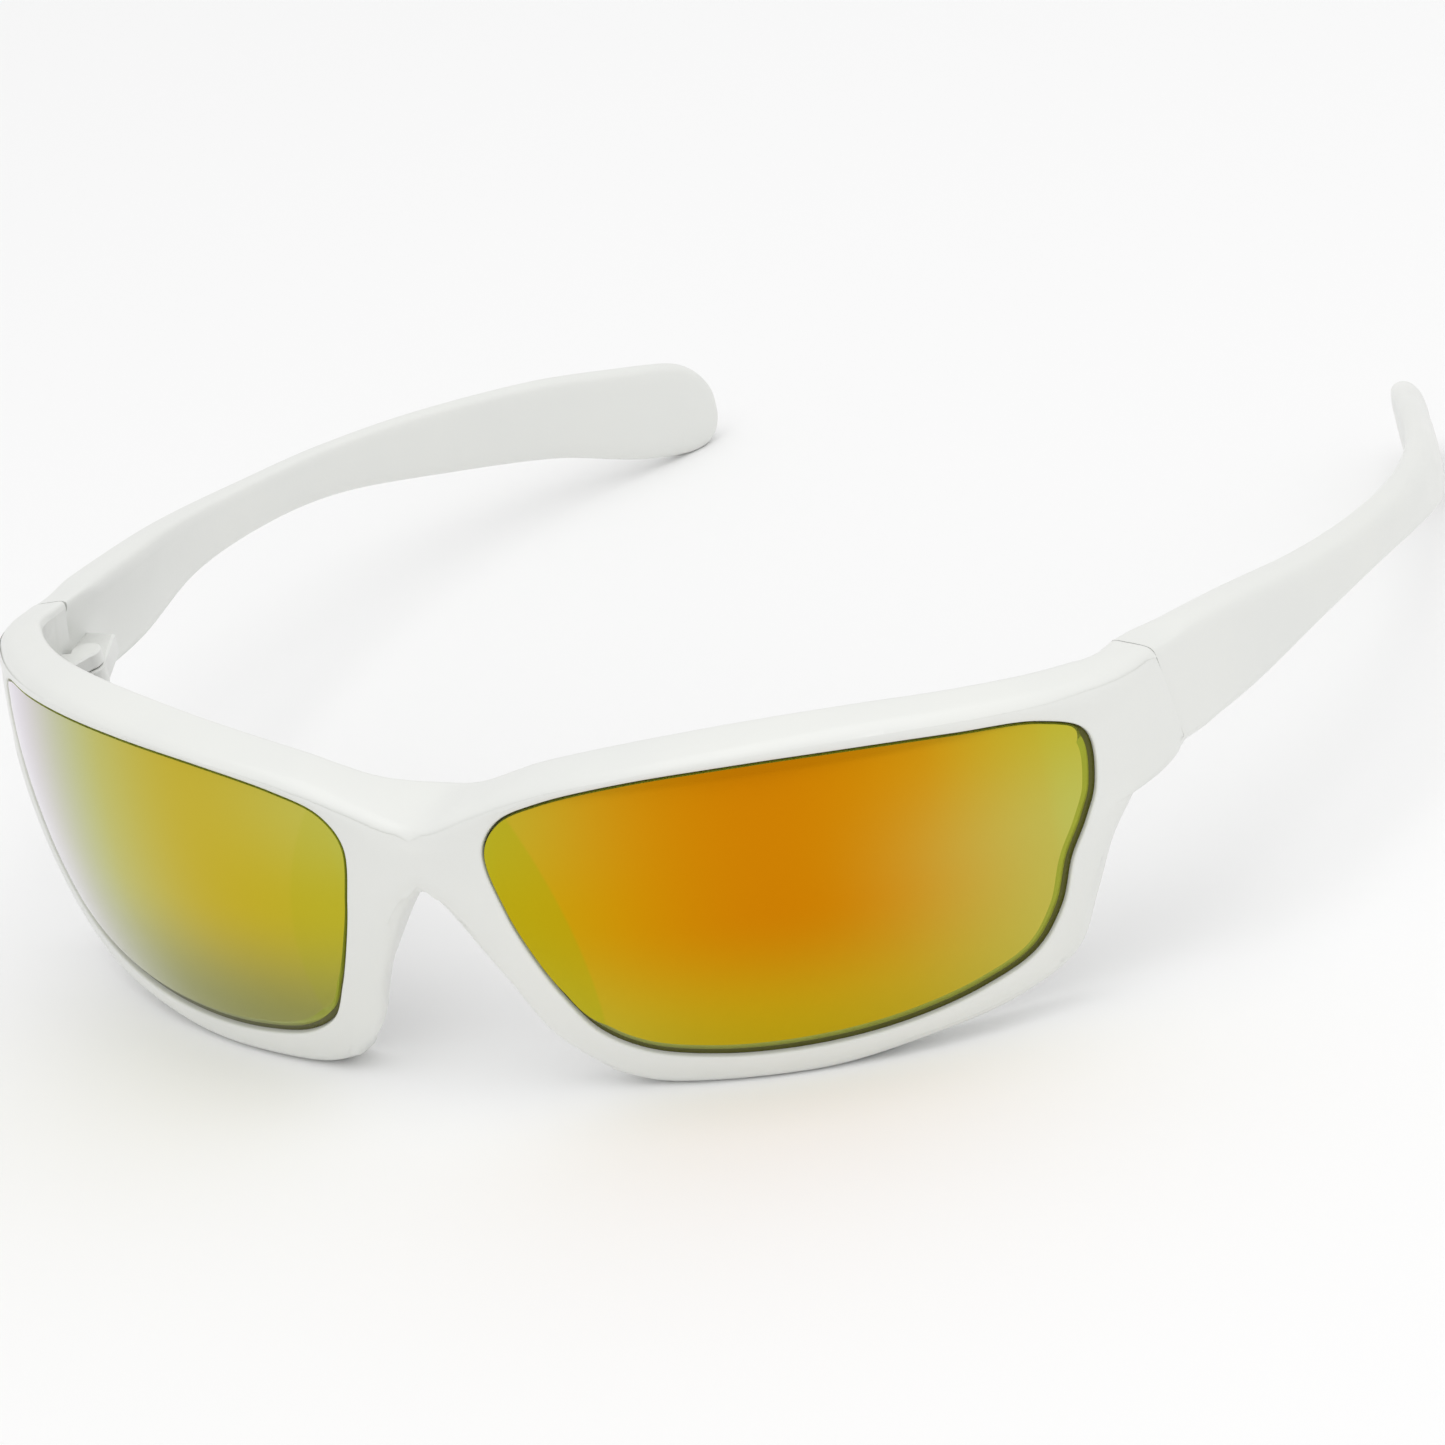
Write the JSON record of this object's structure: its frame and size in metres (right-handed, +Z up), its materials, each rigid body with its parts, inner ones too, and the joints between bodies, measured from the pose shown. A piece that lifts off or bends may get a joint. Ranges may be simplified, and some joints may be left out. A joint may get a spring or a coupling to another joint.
{
  "type": "wraparound sport sunglasses",
  "caption": "Wraparound sport sunglasses with a moulded full-rim front, curved mirrored lenses and temples that fold on screw hinges.",
  "frame": {"origin": "on the ground, in the mid-plane, midway between the front and the temple tips", "axes": "+Z up, the front faces -Y, the temples run towards +Y, +X is the wearer's left"},
  "size_m": [0.144, 0.1392, 0.0389],
  "materials": {
    "frame_plastic": "warm off-white moulded nylon, satin to semi-gloss",
    "lens_mirror": "mirror-coated polycarbonate, orange in the middle, yellow and green towards the edges",
    "screw_steel": "plain steel",
    "nut_brass": "plain brass"
  },
  "bodies": {
    "front": {"front_frame": "frame_plastic", "lens_left": "lens_mirror", "lens_right": "lens_mirror", "hinge_screw_left": "screw_steel", "hinge_screw_right": "screw_steel", "hinge_nut_left": "nut_brass", "hinge_nut_right": "nut_brass"},
    "temple_left": {"temple_left": "frame_plastic"},
    "temple_right": {"temple_right": "frame_plastic"}
  },
  "joints": [
    {"name": "temple_left_fold", "type": "hinge", "parent": "front", "child": "temple_left", "pos_m": [0.06256, -0.03129, 0.0254], "axis": [0, 0, 1], "range_deg": [0, 90]},
    {"name": "temple_right_fold", "type": "hinge", "parent": "front", "child": "temple_right", "pos_m": [-0.06256, -0.03129, 0.0254], "axis": [0, 0, -1], "range_deg": [0, 78]}
  ]
}
